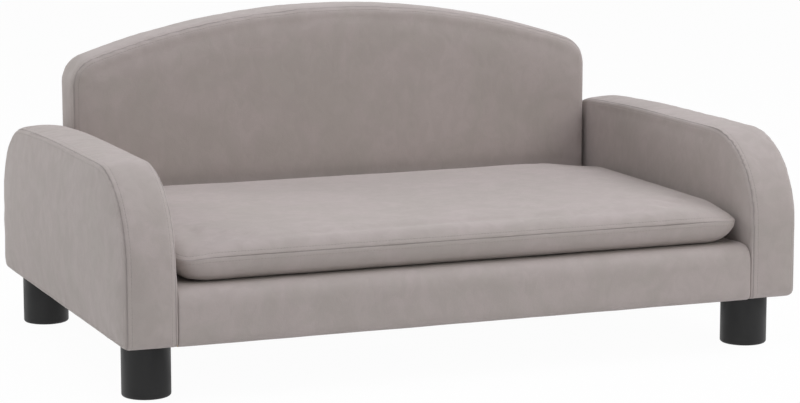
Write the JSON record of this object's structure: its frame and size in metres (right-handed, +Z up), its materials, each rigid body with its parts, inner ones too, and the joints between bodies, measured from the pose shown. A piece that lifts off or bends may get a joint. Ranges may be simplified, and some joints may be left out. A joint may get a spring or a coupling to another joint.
{
  "type": "dog sofa bed",
  "caption": "Small upholstered dog sofa bed with rounded padded arms, an arched padded back, a box base, a loose zipped seat cushion and round screw-in feet.",
  "frame": {"origin": "on the floor, at the middle of the footprint", "axes": "+X to the right as seen from the front, +Y towards the back, +Z up; the front faces -Y"},
  "size_m": [0.7, 0.46, 0.3279],
  "materials": {
    "velvet": "matte",
    "wadding": "matte",
    "dust_fabric": "matte",
    "zip_tape": "matte",
    "foot_plastic": "satin",
    "plywood": "matte",
    "pine": "matte",
    "hardboard": "matte",
    "steel": "satin"
  },
  "bodies": {
    "root": {"back_bottom_rail": "pine", "back_cover_band": "velvet", "back_front_board": "plywood", "back_front_cover": "velvet", "back_mounting_board": "plywood", "back_posts": "pine", "back_rear_board": "plywood", "back_rear_cover": "velvet", "back_top_rail": "pine", "back_wadding": "wadding", "base_corner_blocks": "pine", "base_cover": "velvet", "base_cross_slats": "pine", "base_front_rail": "pine", "base_rear_rail": "pine", "base_wadding": "wadding", "dust_cover": "dust_fabric", "foot_tee_nuts": "steel", "frame_bolt_washers": "steel", "frame_bolts": "steel", "frame_insert_nuts": "steel", "left_arm_battens": "pine", "left_arm_cover_band": "velvet", "left_arm_edge_strip": "hardboard", "left_arm_inner_board": "plywood", "left_arm_inner_cover": "velvet", "left_arm_outer_board": "plywood", "left_arm_outer_cover": "velvet", "left_arm_wadding": "wadding", "left_base_rail": "pine", "right_arm_battens": "pine", "right_arm_cover_band": "velvet", "right_arm_edge_strip": "hardboard", "right_arm_inner_board": "plywood", "right_arm_inner_cover": "velvet", "right_arm_outer_board": "plywood", "right_arm_outer_cover": "velvet", "right_arm_wadding": "wadding", "right_base_rail": "pine", "seat_board": "plywood"},
    "seat_cushion": {"cushion_foam": "wadding", "cushion_top_cover": "velvet", "cushion_band": "velvet", "cushion_bottom_cover": "velvet", "cushion_zip_tape": "zip_tape"},
    "zip_slider": {"cushion_zip_slider": "steel", "cushion_zip_pull": "steel"},
    "front_left_foot_travel": {"front_left_foot_washer": "steel"},
    "front_left_foot": {"front_left_foot": "foot_plastic", "front_left_foot_stud": "steel"},
    "front_right_foot_travel": {"front_right_foot_washer": "steel"},
    "front_right_foot": {"front_right_foot": "foot_plastic", "front_right_foot_stud": "steel"},
    "rear_left_foot_travel": {"rear_left_foot_washer": "steel"},
    "rear_left_foot": {"rear_left_foot": "foot_plastic", "rear_left_foot_stud": "steel"},
    "rear_right_foot_travel": {"rear_right_foot_washer": "steel"},
    "rear_right_foot": {"rear_right_foot": "foot_plastic", "rear_right_foot_stud": "steel"}
  },
  "joints": [
    {"name": "cushion_lift", "type": "slide", "parent": "root", "child": "seat_cushion", "axis": [0, 0, 1], "range_m": [0, 0.25]},
    {"name": "zip_slide", "type": "slide", "parent": "seat_cushion", "child": "zip_slider", "axis": [-1, 0, 0], "range_m": [0, 0.39]},
    {"name": "front_left_foot_lower", "type": "slide", "parent": "root", "child": "front_left_foot_travel", "axis": [0, 0, -1], "range_m": [0, 0.0125]},
    {"name": "front_left_foot_unscrew", "type": "hinge", "parent": "front_left_foot_travel", "child": "front_left_foot", "pos_m": [-0.317, -0.183, 0], "axis": [0, 0, -1], "range_deg": [0, 3600]},
    {"name": "front_right_foot_lower", "type": "slide", "parent": "root", "child": "front_right_foot_travel", "axis": [0, 0, -1], "range_m": [0, 0.0125]},
    {"name": "front_right_foot_unscrew", "type": "hinge", "parent": "front_right_foot_travel", "child": "front_right_foot", "pos_m": [0.317, -0.183, 0], "axis": [0, 0, -1], "range_deg": [0, 3600]},
    {"name": "rear_left_foot_lower", "type": "slide", "parent": "root", "child": "rear_left_foot_travel", "axis": [0, 0, -1], "range_m": [0, 0.0125]},
    {"name": "rear_left_foot_unscrew", "type": "hinge", "parent": "rear_left_foot_travel", "child": "rear_left_foot", "pos_m": [-0.317, 0.183, 0], "axis": [0, 0, -1], "range_deg": [0, 3600]},
    {"name": "rear_right_foot_lower", "type": "slide", "parent": "root", "child": "rear_right_foot_travel", "axis": [0, 0, -1], "range_m": [0, 0.0125]},
    {"name": "rear_right_foot_unscrew", "type": "hinge", "parent": "rear_right_foot_travel", "child": "rear_right_foot", "pos_m": [0.317, 0.183, 0], "axis": [0, 0, -1], "range_deg": [0, 3600]}
  ],
  "couplings": [
    {"joint": "front_left_foot_lower", "follows": "front_left_foot_unscrew", "m_per_rad": 0.00019894},
    {"joint": "front_right_foot_lower", "follows": "front_right_foot_unscrew", "m_per_rad": 0.00019894},
    {"joint": "rear_left_foot_lower", "follows": "rear_left_foot_unscrew", "m_per_rad": 0.00019894},
    {"joint": "rear_right_foot_lower", "follows": "rear_right_foot_unscrew", "m_per_rad": 0.00019894}
  ]
}
